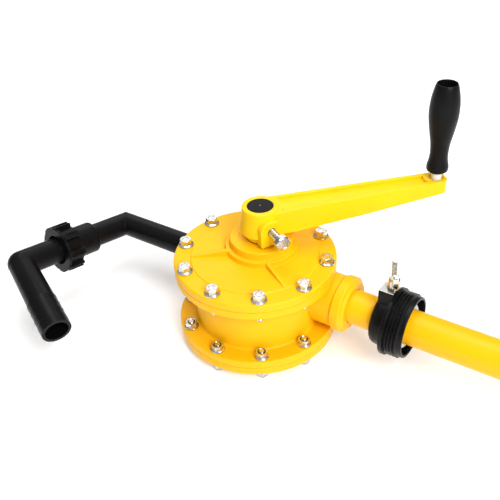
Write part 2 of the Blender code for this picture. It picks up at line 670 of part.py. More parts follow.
# ---------------------------------------------------------------- outlet pipe, union and spout
UNION_Q = Vector((0, 0, 1)).rotation_difference(DIR2)
UNION_O = ELBOW1 + DIR2 * 80.0            # union joint origin, on the swivel axis
BACK = Vector((1, 0, 0))


def on_leg2(bm, s):
    """Sets a piece built along +Z down on the second leg, s from the first elbow."""
    bm.transform(Matrix.Translation(ELBOW1 + DIR2 * s) @ UNION_Q.to_matrix().to_4x4())
    return bm


outlet = mitred(ELBOW1 + BACK * 119.9, ELBOW1, ELBOW1 + DIR2 * 60.0, OUTLET_R1 + 0.2, 20)
outlet = union(outlet, on_leg2(lathe([(0, 0), (14.4, 0), (16.0, 1.6), (16.0, 32.0), (0, 32.0)], 20), 45.0))
outlet = cut(outlet, mitred(ELBOW1 + BACK * 130.0, ELBOW1, ELBOW1 + DIR2 * 90.0, OUTLET_BORE, 16))
bmesh.ops.translate(outlet, verts=outlet.verts[:], vec=-ELBOW1)
place("outlet_pipe", outlet, BLACK, at(*ELBOW1))

nut_body = lathe(
    [
        (16.3, -11.0), (20.0, -11.0), (20.0, 5.6), (22.9, 5.6), (22.9, 7.4), (22.3, 8.0), (15.0, 8.0), (15.0, 3.4),
        (16.3, 3.4),
    ],
    24,
)
lugs = []
for i in range(8):
    lugs.append(turned(box(17.6, 24.6, -3.4, 3.4, -10.2, 7.0), math.tau * i / 8, "Z"))
nut_body = union(nut_body, merged(*lugs))
place("union_nut", nut_body, BLACK, at(*UNION_O), UNION_Q)
place(
    "union_seal",
    lathe([(12.4, -2.7), (15.7, -2.7), (15.7, -0.7), (12.4, -0.7)], SEG_MID),
    RUBBER,
    at(*UNION_O),
    UNION_Q,
)


def domed(first, radius, segs, rings):
    """A round bar down the second leg that ends in half a ball at the spout's elbow."""
    ball = [
        (radius * math.cos(math.pi / 2 * k / rings), LEG2 - first + radius * math.sin(math.pi / 2 * k / rings))
        for k in range(rings)
    ]
    return on_leg2(lathe([(0, 0), (radius, 0)] + ball + [(0, LEG2 - first + radius)], segs), first)


BARB_N, BARB_START, BARB_PITCH, BARB_R = 4, 54.4, 8.8, 14.25
teeth = [(0, 0), (12.6, 0), (13.6, BARB_START)]          # the leg widens a little towards the barbs
for i in range(BARB_N):
    z = BARB_START + i * BARB_PITCH
    last = i == BARB_N - 1
    teeth += [(BARB_R, z + 0.3), (BARB_R - (0.25 if last else 0.55), LEG3 if last else z + BARB_PITCH - 0.3)]
teeth += [(0, LEG3)]
SPOUT_Q = Vector((0, 0, 1)).rotation_difference(DIR3)
barbs = lathe(teeth, 24)
barbs.transform(Matrix.Translation(ELBOW2) @ SPOUT_Q.to_matrix().to_4x4())
spout = union(
    domed(81.0, 12.9, 24, 6),
    on_leg2(lathe([(0, 0), (15.9, 0), (15.9, 3.4), (0, 3.4)], 20), 79.6),
    barbs,
)
spout = cut(
    spout,
    union(domed(75.0, OUTLET_BORE, 20, 5), rod(ELBOW2, ELBOW2 + DIR3 * 62.0, 9.5, 20)),
    rod(ELBOW2 + DIR3 * 58.0, ELBOW2 + DIR3 * (LEG3 + 5.0), 11.1, 20),
)
bmesh.ops.translate(spout, verts=spout.verts[:], vec=-UNION_O)
place("spout", spout, BLACK, at(*UNION_O))
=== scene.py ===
"""Looks of a hand-cranked drum pump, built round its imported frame.

The detailed pieces are laid out in millimetres with zero at the centre of the top cover's upper face, +Z towards the
crank and +X along the suction tube. ROW turns that into the frame's metres.
"""

import math

import bmesh
import bpy
from mathutils import Matrix, Vector


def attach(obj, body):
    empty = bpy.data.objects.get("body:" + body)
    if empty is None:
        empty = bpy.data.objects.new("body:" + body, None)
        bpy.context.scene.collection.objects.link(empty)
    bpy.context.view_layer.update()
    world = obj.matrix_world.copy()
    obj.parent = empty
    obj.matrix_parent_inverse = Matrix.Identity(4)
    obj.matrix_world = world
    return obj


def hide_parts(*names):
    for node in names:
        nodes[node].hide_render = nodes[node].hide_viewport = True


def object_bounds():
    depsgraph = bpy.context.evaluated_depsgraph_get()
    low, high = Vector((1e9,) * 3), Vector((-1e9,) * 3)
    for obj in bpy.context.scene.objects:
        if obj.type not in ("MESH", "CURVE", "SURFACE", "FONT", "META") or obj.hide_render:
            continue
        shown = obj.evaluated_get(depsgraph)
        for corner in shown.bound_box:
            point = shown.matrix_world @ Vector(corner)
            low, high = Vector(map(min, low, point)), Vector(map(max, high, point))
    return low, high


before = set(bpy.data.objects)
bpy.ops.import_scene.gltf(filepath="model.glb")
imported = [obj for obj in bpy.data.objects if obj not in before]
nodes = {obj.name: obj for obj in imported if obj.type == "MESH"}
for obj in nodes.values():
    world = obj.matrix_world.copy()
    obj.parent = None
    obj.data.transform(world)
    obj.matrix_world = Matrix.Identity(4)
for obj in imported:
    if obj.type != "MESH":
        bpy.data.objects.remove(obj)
CAD_LOW, CAD_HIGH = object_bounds()
scene = bpy.context.scene

PORT_Y, PORT_Z, SHOULDER_X = 20.2, -38.8, 133.5
ROW = Matrix.Scale(0.001, 4) @ Matrix.Translation((-SHOULDER_X, -PORT_Y, -PORT_Z))
GAP = 0.3
COVER_R, COVER_T, FLANGE_T, STACK_H = 75.0, 7.5, 7.5, 80.7
BARREL_R, CHAMBER_R, RING_R = 58.0, 52.0, 56.0
BOLT_N, BOLT_PCD_R, BOLT_R = 10, 67.0, 3.0
PORT_BOLTS = (2, 8)
SHAFT_X, SHAFT_Y, SHAFT_R = 0.0, 12.0, 8.0
HUB_R, HUB_LOW, HUB_TOP = 16.8, 20.5, 45.5
CAP_R, CAP_H = 11.9, 6.0
ARM_ANGLE, ARM_LEN = 46.85, 169.4
CLAMP_ANGLE, CLAMP_Z = -29.5, 28.8
TUBE_R, TUBE_BORE_R = 16.0, 13.0
ELBOW1 = Vector((-182.6, PORT_Y, PORT_Z))
DIR2 = Vector((-0.1633, -0.9757, 0.1458)).normalized()
DIR3 = Vector((0.8838, -0.4046, -0.2351)).normalized()
LEG2, LEG3 = 128.4, 91.1
ELBOW2 = ELBOW1 + DIR2 * LEG2
UNION_O = ELBOW1 + DIR2 * 80.0
Z_FLANGE_TOP = -(COVER_T + GAP)
Z_FLANGE_UNDER = Z_FLANGE_TOP - FLANGE_T
Z_BASE_COVER = -(STACK_H - COVER_T)
Z_CASING_LOW = Z_BASE_COVER + GAP
Z_LOW_FLANGE = Z_CASING_LOW + FLANGE_T
GRIP_X = SHAFT_X + ARM_LEN * math.cos(math.radians(ARM_ANGLE))
GRIP_Y = SHAFT_Y + ARM_LEN * math.sin(math.radians(ARM_ANGLE))


# ---------------------------------------------------------------- mesh helpers, all in millimetres
def evaluated(obj, weld=1e-4):
    """The object's mesh with its modifiers or curve settings worked out, as a bmesh; the object is removed."""
    graph = bpy.context.evaluated_depsgraph_get()
    data = bpy.data.meshes.new_from_object(obj.evaluated_get(graph))
    bm = bmesh.new()
    bm.from_mesh(data)
    bpy.data.meshes.remove(data)
    source = obj.data
    bpy.data.objects.remove(obj, do_unlink=True)
    (bpy.data.meshes if isinstance(source, bpy.types.Mesh) else bpy.data.curves).remove(source)
    bmesh.ops.remove_doubles(bm, verts=bm.verts[:], dist=weld)
    bmesh.ops.recalc_face_normals(bm, faces=bm.faces[:])
    return bm


def linked(name, data):
    obj = bpy.data.objects.new(name, data)
    scene.collection.objects.link(obj)
    return obj


def filleted(points, steps=4):
    """A closed outline whose (a, b, radius) corners are rounded and whose (a, b) corners stay sharp."""
    out = []
    count = len(points)
    for i, point in enumerate(points):
        here = Vector(point[:2])
        radius = point[2] if len(point) > 2 else 0.0
        before, after = Vector(points[i - 1][:2]), Vector(points[(i + 1) % count][:2])
        u, v = (before - here), (after - here)
        if radius <= 0 or u.length < 1e-9 or v.length < 1e-9:
            out.append((here.x, here.y))
            continue
        angle = u.angle(v)
        if angle > math.pi - 0.02:
            out.append((here.x, here.y))
            continue
        room = min(u.length, v.length) * 0.49
        back = min(radius / math.tan(angle / 2), room)
        radius = back * math.tan(angle / 2)
        centre = here + (u.normalized() + v.normalized()).normalized() * (radius / math.sin(angle / 2))
        first, last = here + u.normalized() * back - centre, here + v.normalized() * back - centre
        sweep = math.atan2(first.x * last.y - first.y * last.x, first.dot(last))
        for k in range(steps + 1):
            a = sweep * k / steps
            c, s = math.cos(a), math.sin(a)
            out.append((centre.x + first.x * c - first.y * s, centre.y + first.x * s + first.y * c))
    return out


def smooth_line(knots, steps=6):
    """Catmull-Rom points through the given knots."""
    out = []
    for i in range(len(knots) - 1):
        p0, p1 = knots[max(i - 1, 0)], knots[i]
        p2, p3 = knots[i + 1], knots[min(i + 2, len(knots) - 1)]
        for k in range(steps):
            t = k / steps
            out.append(
                tuple(
                    0.5 * (
                        2 * p1[j] + (p2[j] - p0[j]) * t + (2 * p0[j] - 5 * p1[j] + 4 * p2[j] - p3[j]) * t * t
                        + (3 * p1[j] - p0[j] - 3 * p2[j] + p3[j]) * t ** 3
                    )
                    for j in range(2)
                )
            )
    out.append(tuple(knots[-1]))
    return out


def lathe(points, segs, steps=4):
    """A closed (radius, height[, fillet]) outline turned about Z with a Screw modifier."""
    outline = filleted(points, steps)
    outline = [(max(r, 0.0), h) for r, h in outline]
    data = bpy.data.meshes.new("profile")
    pairs = [(i, (i + 1) % len(outline)) for i in range(len(outline))]
    pairs = [(a, b) for a, b in pairs if outline[a][0] > 1e-9 or outline[b][0] > 1e-9]
    data.from_pydata([(r, 0.0, h) for r, h in outline], pairs, [])
    obj = linked("profile", data)
    screw = obj.modifiers.new("turn", "SCREW")
    screw.axis, screw.angle = "Z", math.tau
    screw.steps = screw.render_steps = segs
    screw.use_merge_vertices, screw.merge_threshold = True, 0.0001
    return evaluated(obj)


def cylinder(r, z0, z1, segs, x=0.0, y=0.0, turn=0.0, r2=None):
    bm = bmesh.new()
    bmesh.ops.create_cone(
        bm, cap_ends=True, segments=segs, radius1=r, radius2=r if r2 is None else r2, depth=z1 - z0
    )
    bmesh.ops.rotate(bm, verts=bm.verts[:], cent=(0, 0, 0), matrix=Matrix.Rotation(turn, 3, "Z"))
    return moved(bm, x, y, (z0 + z1) / 2)


def cylinder_x(r, x0, x1, segs, y=0.0, z=0.0):
    bm = cylinder(r, x0, x1, segs)
    bmesh.ops.rotate(bm, verts=bm.verts[:], cent=(0, 0, 0), matrix=Matrix.Rotation(math.pi / 2, 3, "Y"))
    return moved(bm, 0.0, y, z)


def box(x0, x1, y0, y1, z0, z1):
    bm = bmesh.new()
    bmesh.ops.create_cube(bm, size=1.0)
    bmesh.ops.scale(bm, verts=bm.verts[:], vec=(x1 - x0, y1 - y0, z1 - z0))
    return moved(bm, (x0 + x1) / 2, (y0 + y1) / 2, (z0 + z1) / 2)


def prism(outline, z0, z1, steps=4):
    """A filled 2D outline of (x, y[, fillet]) points, as thick as z0 to z1."""
    outline = filleted(outline, steps)
    data = bpy.data.curves.new("outline", "CURVE")
    data.dimensions, data.fill_mode, data.extrude = "2D", "BOTH", (z1 - z0) / 2
    spline = data.splines.new("POLY")
    spline.points.add(len(outline) - 1)
    for point, (x, y) in zip(spline.points, outline):
        point.co = (x, y, 0.0, 1.0)
    spline.use_cyclic_u = True
    bm = evaluated(linked("outline", data))
    bmesh.ops.dissolve_limit(bm, angle_limit=0.001, verts=bm.verts[:], edges=bm.edges[:])
    return moved(bm, 0.0, 0.0, (z0 + z1) / 2)


def pipe(points, radius, sides):
    """A round rod swept along a path as a curve with a bevel depth and filled caps."""
    data = bpy.data.curves.new("path", "CURVE")
    data.dimensions, data.bevel_depth = "3D", radius
    data.bevel_resolution, data.use_fill_caps = (sides - 4) // 2, True
    spline = data.splines.new("POLY")
    spline.points.add(len(points) - 1)
    for point, co in zip(spline.points, points):
        point.co = (*co, 1.0)
    return evaluated(linked("path", data))


def rod(start, end, radius, sides):
    bm = bmesh.new()
    run = end - start
    bmesh.ops.create_cone(bm, cap_ends=True, segments=sides, radius1=radius, radius2=radius, depth=run.length)
    bm.transform(Matrix.Translation((start + end) / 2) @ Vector((0, 0, 1)).rotation_difference(run).to_matrix().to_4x4())
    return bm


def turned(bm, angle, axis, cent=(0, 0, 0)):
    bmesh.ops.rotate(bm, verts=bm.verts[:], cent=cent, matrix=Matrix.Rotation(angle, 3, axis))
    return bm


def moved(bm, x, y, z):
    bmesh.ops.translate(bm, verts=bm.verts[:], vec=(x, y, z))
    return bm


def merged(*parts):
    out = bmesh.new()
    for piece in parts:
        data = bpy.data.meshes.new("piece")
        piece.to_mesh(data)
        out.from_mesh(data)
        bpy.data.meshes.remove(data)
        piece.free()
    return out


def solid(bm):
    data = bpy.data.meshes.new("work")
    bm.to_mesh(data)
    bm.free()
    return linked("work", data)


def combined(first, second, operation):
    a, b = solid(first), solid(second)
    step = a.modifiers.new("cut", "BOOLEAN")
    step.object, step.operation, step.solver = b, operation, "EXACT"
    graph = bpy.context.evaluated_depsgraph_get()
    data = bpy.data.meshes.new_from_object(a.evaluated_get(graph))
    out = bmesh.new()
    out.from_mesh(data)
    for obj in (a, b):
        mesh = obj.data
        bpy.data.objects.remove(obj, do_unlink=True)
        bpy.data.meshes.remove(mesh)
    bpy.data.meshes.remove(data)
    bmesh.ops.remove_doubles(out, verts=out.verts[:], dist=1e-3)
    bmesh.ops.dissolve_degenerate(out, edges=out.edges[:], dist=1e-3)
    return out


def union(*parts):
    out = parts[0]
    for piece in parts[1:]:
        out = combined(out, piece, "UNION")
    return out


def cut(first, *cutters):
    for cutter in cutters:
        first = combined(first, cutter, "DIFFERENCE")
    return first


def bevelled(bm, width, segments=3, angle=35.0):
    """Rounds every edge sharper than the angle with a Bevel modifier."""
    obj = solid(bm)
    step = obj.modifiers.new("edges", "BEVEL")
    step.width, step.segments, step.limit_method, step.angle_limit = width, segments, "ANGLE", math.radians(angle)
    step.miter_outer, step.use_clamp_overlap = "MITER_ARC", True
    return evaluated(obj, 1e-5)


def lever(plan, side, steps=5):
    """A bar given by its plan outline (x, y) and its side outline (x, z)."""
    flat = prism(plan, 0.0, 80.0, steps)
    tall = turned(prism(side, -40.0, 40.0, steps), math.pi / 2, "X")
    return combined(flat, tall, "INTERSECT")


def mitred(start, corner, end, radius, sides):
    """Two straight rods that meet on the plane halving their angle: one is built, the other is its mirror image."""
    into, out = (corner - start).normalized(), (end - corner).normalized()
    plane = (into + out).normalized()
    turn = Vector((0, 0, 1)).rotation_difference(plane).to_matrix().to_4x4()
    mirror = Matrix.Translation(corner) @ Matrix.Scale(-1, 4, plane) @ Matrix.Translation(-corner)
    halves = []
    for length, mirrored in (((corner - start).length, False), ((end - corner).length, True)):
        half = rod(corner - into * length, corner + into * radius * 2.0, radius, sides)
        block = box(-200.0, 200.0, -200.0, 200.0, 0.0, 400.0)
        block.transform(Matrix.Translation(corner) @ turn)
        half = cut(half, block)
        if mirrored:
            half.transform(mirror)
        halves.append(half)
    joined = merged(*halves)
    bmesh.ops.remove_doubles(joined, verts=joined.verts[:], dist=1e-2)
    inner = [f for f in joined.faces if all(abs((v.co - corner).dot(plane)) < 1e-2 for v in f.verts)]
    bmesh.ops.delete(joined, geom=inner, context="FACES")
    bmesh.ops.recalc_face_normals(joined, faces=joined.faces[:])
    return joined


def look(name, bm, mat, body, replaced, at=(0.0, 0.0, 0.0), turn=None, angle=32.0, mesh=None):
    """Finishes a piece: local millimetres to the frame's metres, smooth shading with sharp creases, body and node."""
    if mesh is None:
        bmesh.ops.scale(bm, verts=bm.verts[:], vec=(0.001, 0.001, 0.001))
        mesh = bpy.data.meshes.new(name)
        bm.to_mesh(mesh)
        bm.free()
        mesh.shade_smooth()
        mesh.set_sharp_from_angle(angle=math.radians(angle))
        mesh.materials.append(mat)
    obj = linked(name, mesh)
    obj.matrix_world = Matrix.Translation(ROW @ Vector(at)) @ (turn.to_4x4() if turn is not None else Matrix.Identity(4))
    step = obj.modifiers.new("normals", "WEIGHTED_NORMAL")
    step.keep_sharp, step.weight = True, 60
    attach(obj, body)
    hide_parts(*replaced)
    return obj


class Nodes:
    """Short calls for building one material's node tree."""

    def __init__(self, name, slot):
        self.mat = bpy.data.materials.new(name)
        self.mat.use_nodes = True
        self.tree = self.mat.node_tree
        self.tree.nodes.clear()
        self.out = self.add("ShaderNodeOutputMaterial")
        self.bsdf = self.add("ShaderNodeBsdfPrincipled")
        self.link(self.bsdf.outputs[0], self.out.inputs[0])
        self.place = self.add("ShaderNodeTexCoord").outputs["Object"]

    def add(self, kind, **values):
        node = self.tree.nodes.new(kind)
        for key, value in values.items():
            setattr(node, key, value)
        return node

    def link(self, a, b):
        self.tree.links.new(a, b)

    def stretched(self, scale):
        node = self.add("ShaderNodeMapping")
        node.inputs["Scale"].default_value = scale
        self.link(self.place, node.inputs["Vector"])
        return node.outputs[0]

    def noise(self, scale, detail=3.0, rough=0.55, where=None, distortion=0.0):
        node = self.add("ShaderNodeTexNoise")
        node.inputs["Scale"].default_value = scale
        node.inputs["Detail"].default_value = detail
        node.inputs["Roughness"].default_value = rough
        node.inputs["Distortion"].default_value = distortion
        self.link(where or self.place, node.inputs["Vector"])
        return node.outputs["Fac"]

    def voronoi(self, scale, where=None):
        node = self.add("ShaderNodeTexVoronoi")
        node.inputs["Scale"].default_value = scale
        self.link(where or self.place, node.inputs["Vector"])
        return node.outputs["Distance"]

    def ranged(self, value, low, high, to_low, to_high):
        node = self.add("ShaderNodeMapRange", clamp=True)
        for i, v in enumerate((low, high, to_low, to_high)):
            node.inputs[i + 1].default_value = v
        self.link(value, node.inputs[0])
        return node.outputs[0]

    def maths(self, operation, a, b):
        node = self.add("ShaderNodeMath", operation=operation)
        for i, v in enumerate((a, b)):
            if isinstance(v, (int, float)):
                node.inputs[i].default_value = v
            else:
                self.link(v, node.inputs[i])
        return node.outputs[0]

    def mixed(self, fac, a, b, blend="MIX"):
        node = self.add("ShaderNodeMix", data_type="RGBA", blend_type=blend)
        self.link(fac, node.inputs[0])
        for socket, v in ((node.inputs[6], a), (node.inputs[7], b)):
            if isinstance(v, tuple):
                socket.default_value = (*v, 1.0)
            else:
                self.link(v, socket)
        return node.outputs[2]

    def edges(self, radius, gain):
        """1 along the piece's outer edges, 0 on flat ground."""
        soft = self.add("ShaderNodeBevel", samples=4)
        soft.inputs["Radius"].default_value = radius
        dot = self.add("ShaderNodeVectorMath", operation="DOT_PRODUCT")
        self.link(soft.outputs[0], dot.inputs[0])
        self.link(self.add("ShaderNodeNewGeometry").outputs["Normal"], dot.inputs[1])
        return self.ranged(dot.outputs["Value"], 1.0, 1.0 - gain, 0.0, 1.0)

    def bump(self, height, strength, distance):
        node = self.add("ShaderNodeBump")
        node.inputs["Strength"].default_value = strength
        node.inputs["Distance"].default_value = distance
        self.link(height, node.inputs["Height"])
        self.link(node.outputs[0], self.bsdf.inputs["Normal"])

    def set(self, **values):
        for key, value in values.items():
            self.bsdf.inputs[key.replace("_", " ")].default_value = value


def moulded(name, slot, main, shade, rough, grain, rub, specular=0.5, subsurface=0.0, flow=22.0, dust=0.25):
    """Injection-moulded plastic: slow colour drift, fine grain, faint flow marks, rubbed edges and light scuffs."""
    m = Nodes(name, slot)
    drift = m.noise(flow, 4.0, 0.6, distortion=0.6)
    colour = m.mixed(m.ranged(drift, 0.3, 0.7, 0.0, 1.0), main, shade)
    speck = m.ranged(m.noise(2600.0, 2.0, 0.7), 0.62, 0.74, 0.0, dust)
    colour = m.mixed(speck, colour, tuple(min(1.0, c * 0.82) for c in main))
    scuff = m.noise(1.0, 6.0, 0.7, where=m.stretched((900.0, 140.0, 500.0)))
    scuff = m.ranged(scuff, 0.66, 0.80, 0.0, 1.0)
    patch = m.ranged(m.noise(45.0, 3.0), 0.48, 0.62, 0.0, 1.0)
    scuff = m.maths("MULTIPLY", scuff, patch)
    worn = m.maths("MULTIPLY", m.edges(0.0008, 0.16), m.ranged(m.noise(160.0, 4.0, 0.7), 0.40, 0.60, 0.15, 1.0))
    colour = m.mixed(m.maths("MULTIPLY", m.maths("ADD", worn, m.maths("MULTIPLY", scuff, 0.5)), 0.45), colour, rub)
    m.link(colour, m.bsdf.inputs["Base Color"])
    fine = m.noise(grain, 3.0, 0.6)
    base = m.ranged(m.noise(70.0, 4.0, 0.6), 0.3, 0.7, rough - 0.05, rough + 0.06)
    base = m.maths("ADD", base, m.maths("MULTIPLY", scuff, 0.16))
    base = m.maths("ADD", base, m.ranged(fine, 0.3, 0.7, -0.03, 0.03))
    m.link(base, m.bsdf.inputs["Roughness"])
    height = m.maths("ADD", m.maths("MULTIPLY", fine, 0.6), m.maths("MULTIPLY", m.noise(320.0, 2.0), 0.8))
    m.bump(height, 0.35, 0.00006)
    m.set(Specular_IOR_Level=specular)
    if subsurface:
        m.set(Subsurface_Weight=subsurface, Subsurface_Radius=(1.0, 0.45, 0.1), Subsurface_Scale=0.003)
    return m.mat


def plated(name, slot, main, tint, rough, brush, bump=0.5):
    """Zinc plate: cloudy passivation tint, fine brushing, darker specks, brighter rubbed corners and painted shade
    darkening the creases where surfaces meet.
    """
    m = Nodes(name, slot)
    cloud = m.noise(180.0, 5.0, 0.65, distortion=1.2)
    colour = m.mixed(m.ranged(cloud, 0.35, 0.68, 0.0, 1.0), main, tint)
    pits = m.ranged(m.noise(2200.0, 2.0, 0.7), 0.66, 0.78, 0.0, 0.5)
    colour = m.mixed(pits, colour, tuple(c * 0.45 for c in main))
    colour = m.mixed(m.maths("MULTIPLY", m.edges(0.0005, 0.2), 0.5), colour, (0.95, 0.95, 0.94))
    # painted shade: an ambient-occlusion mask pulls the colour towards near-black in creases and tight corners
    crease = m.add("ShaderNodeAmbientOcclusion", samples=6, only_local=False)
    crease.inputs["Distance"].default_value = 0.004
    painted_crease_shade = m.ranged(crease.outputs["AO"], 0.35, 0.85, 0.85, 0.0)
    colour = m.mixed(painted_crease_shade, colour, tuple(c * 0.12 for c in tint))
    m.link(colour, m.bsdf.inputs["Base Color"])
    lines = m.noise(1.0, 3.0, 0.6, where=m.stretched(brush))
    r = m.maths("ADD", m.ranged(cloud, 0.3, 0.7, rough - 0.05, rough + 0.08), m.ranged(lines, 0.3, 0.7, -0.05, 0.06))
    m.link(r, m.bsdf.inputs["Roughness"])
    m.bump(m.maths("ADD", m.maths("MULTIPLY", lines, 0.5), m.maths("MULTIPLY", cloud, 0.5)), bump, 0.00003)
    m.set(Metallic=1.0)
    return m.mat


YELLOW = moulded(
    "body_yellow", "yellow_plastic", (0.93, 0.50, 0.003), (0.90, 0.465, 0.002), 0.42, 1900.0, (1.0, 0.66, 0.08),
    specular=0.20, subsurface=0.12,
)
TUBE_YELLOW = moulded(
    "tube_yellow", "yellow_plastic", (0.93, 0.50, 0.003), (0.91, 0.46, 0.003), 0.34, 1200.0, (1.0, 0.68, 0.08),
    specular=0.20, subsurface=0.12, flow=9.0,
)
LEMON = moulded(
    "crank_yellow", "crank_yellow_plastic", (0.94, 0.60, 0.003), (0.92, 0.56, 0.002), 0.38, 1900.0, (1.0, 0.78, 0.14),
    specular=0.20, subsurface=0.12,
)
BLACK = moulded(
    "black_moulding", "black_plastic", (0.0030, 0.0030, 0.0034), (0.0045, 0.0045, 0.0050), 0.30, 1500.0,
    (0.030, 0.030, 0.031), specular=0.13, dust=0.0,
)
GRIP_BLACK = moulded(
    "grip_black", "black_plastic", (0.0034, 0.0034, 0.0040), (0.0052, 0.0052, 0.0058), 0.38, 1100.0,
    (0.035, 0.035, 0.036), specular=0.12, dust=0.0, flow=40.0,
)
ZINC = plated("zinc", "zinc_plated_steel", (0.74, 0.74, 0.73), (0.50, 0.49, 0.44), 0.18, (900.0, 900.0, 4000.0))
WING_ZINC = plated("yellow_zinc", "zinc_plated_steel", (0.74, 0.70, 0.54), (0.62, 0.64, 0.66), 0.22, (700.0, 700.0, 2500.0))
STEEL = plated("turned_shaft", "turned_steel", (0.66, 0.66, 0.66), (0.58, 0.58, 0.58), 0.28, (60.0, 60.0, 6000.0))
RUBBER = moulded(
    "seal_rubber", "nitrile_rubber", (0.016, 0.016, 0.016), (0.022, 0.022, 0.022), 0.72, 1400.0, (0.06, 0.06, 0.06),
    specular=0.3, dust=0.0,
)
GREY = moulded(
    "grey_seal", "grey_seal_plastic", (0.62, 0.62, 0.61), (0.56, 0.56, 0.55), 0.45, 1500.0, (0.78, 0.78, 0.77),
)
WHITE_WASHER = moulded(
    "pale_washer", "grey_seal_plastic", (0.86, 0.86, 0.84), (0.80, 0.80, 0.78), 0.40, 1500.0, (0.92, 0.92, 0.90),
)
ROTOR = moulded("rotor_ivory", "rotor_plastic", (0.74, 0.72, 0.64), (0.70, 0.67, 0.58), 0.45, 1500.0, (0.85, 0.84, 0.78))
VANE = moulded("vane_grey", "vane_plastic", (0.10, 0.10, 0.10), (0.13, 0.13, 0.13), 0.38, 1500.0, (0.25, 0.25, 0.25))


# ---------------------------------------------------------------- casing and covers
def bolt_spots():
    for i in range(BOLT_N):
        a = math.pi / 2 + i * math.tau / BOLT_N
        yield i, BOLT_PCD_R * math.cos(a), BOLT_PCD_R * math.sin(a)


def bolt_holes(blind_at_ports):
    made = []
    for i, x, y in bolt_spots():
        spans = [(-95.0, 12.0)]
        if blind_at_ports and i in PORT_BOLTS:
            spans = [(-20.1, 12.0), (-95.0, -59.5)]
        for low_z, high_z in spans:
            made.append(cylinder(BOLT_R + 0.25, low_z, high_z, 20, x, y))
    return merged(*made)


SEG = 144
casing = lathe(
    [
        (CHAMBER_R, Z_FLANGE_TOP), (COVER_R, Z_FLANGE_TOP, 0.5), (COVER_R, Z_FLANGE_UNDER, 1.2),
        (BARREL_R + 0.4, Z_FLANGE_UNDER, 2.4), (BARREL_R, -40.0), (BARREL_R + 0.4, Z_LOW_FLANGE, 2.4),
        (COVER_R, Z_LOW_FLANGE, 1.2), (COVER_R, Z_CASING_LOW, 0.5), (CHAMBER_R, Z_CASING_LOW),
    ],
    SEG,
)
suction_spigot = lathe([(0, 40.0), (24.9, 40.0), (24.5, 79.9, 0.8), (0, 79.9)], 72)
turned(suction_spigot, math.pi / 2, "Y")
moved(suction_spigot, 0.0, PORT_Y, PORT_Z)
outlet_spigot = lathe([(0, 40.0), (22.4, 40.0), (22.0, 71.9, 0.8), (0, 71.9)], 72)
turned(outlet_spigot, -math.pi / 2, "Y")
moved(outlet_spigot, 0.0, PORT_Y, PORT_Z)
core = cylinder(CHAMBER_R + 2.0, -100.0, 20.0, SEG)
casing = union(casing, cut(suction_spigot, core), cut(outlet_spigot, cylinder(CHAMBER_R + 2.0, -100.0, 20.0, SEG)))
casing = cut(
    casing,
    cylinder_x(12.6, 30.0, 70.0, 40, PORT_Y, PORT_Z),
    cylinder_x(TUBE_R + GAP, 62.0, 85.0, 40, PORT_Y, PORT_Z),
    cylinder_x(9.4, -70.0, -30.0, 40, PORT_Y, PORT_Z),
    cylinder_x(12.3, -80.0, -60.0, 40, PORT_Y, PORT_Z),
    bolt_holes(True),
)
look("casing_shell", casing, YELLOW, "pump_body", ["pump_casing"])

top = lathe(
    [
        (0, -COVER_T), (COVER_R, -COVER_T, 0.5), (COVER_R, 0.0, 1.6), (59.4, 0.0, 0.4), (58.8, 0.9, 0.4), (0, 0.9),
    ],
    SEG,
)
boss = lathe(
    [
        (0, -3.0), (35.2, -3.0), (35.2, 0.85), (34.3, 1.1, 0.8), (33.7, 6.0, 0.7), (29.8, 6.0, 0.6), (29.2, 13.0, 0.9),
        (21.0, 13.0, 0.3), (20.6, 12.4, 0.3), (0, 12.4),
    ],
    96,
)
top = union(top, moved(boss, SHAFT_X, SHAFT_Y, 0.0))
for angle, root in ((-144.0, 26.0), (-30.5, 26.0), (92.75, 45.0)):
    rib = lever(
        [(root - 9.0, -2.4), (root, -2.4), (58.2, -1.4), (58.2, 1.4), (root, 2.4), (root - 9.0, 2.4)],
        [(root - 9.0, 0.0), (58.2, 0.0), (58.2, 1.7, 0.5), (root, 6.1, 1.0), (root - 9.0, 6.1)],
    )
    for v in rib.verts:                              # moulding draft: the crest is thinner than the foot
        v.co.y *= 1.0 - 0.30 * max(0.0, v.co.z) / 5.6
    rib = bevelled(rib, 0.4, 2, 50.0)
    top = union(top, turned(rib, math.radians(angle), "Z"))
top = cut(
    top,
    cylinder(SHAFT_R + GAP, -20.0, 30.0, 48, SHAFT_X, SHAFT_Y),
    cylinder(14.0, 6.7, 30.0, 64, SHAFT_X, SHAFT_Y),
    bolt_holes(False),
)
look("top_cover_shell", top, YELLOW, "pump_body", ["top_cover"])

low = lathe(
    [(0, Z_BASE_COVER), (COVER_R, Z_BASE_COVER, 0.5), (COVER_R, -STACK_H, 1.6), (0, -STACK_H)],
    SEG,
)
low_boss = lathe([(0, -78.0), (22.4, -78.0), (22.4, -STACK_H + 0.2), (20.6, -STACK_H - 0.4, 0.9), (19.2, -87.5, 1.5), (0, -87.5)], 72)
low = union(low, moved(low_boss, SHAFT_X, SHAFT_Y, 0.0))
for k in range(6):
    rib = prism([(17.0, -1.0), (56.0, -1.0), (56.0, 1.2, 0.5), (20.0, 4.6, 0.8), (17.0, 4.6)], -1.6, 1.6)
    turned(rib, -math.pi / 2, "X")
    rib = bevelled(rib, 0.4, 2, 50.0)
    turned(rib, math.tau * k / 6 + 0.3, "Z")
    low = union(low, moved(rib, SHAFT_X, SHAFT_Y * 0.4, -STACK_H))
low = cut(low, cylinder(SHAFT_R + GAP, -82.9, 0.0, 48, SHAFT_X, SHAFT_Y), bolt_holes(False))
look("bottom_cover_shell", low, YELLOW, "pump_body", ["bottom_cover"])


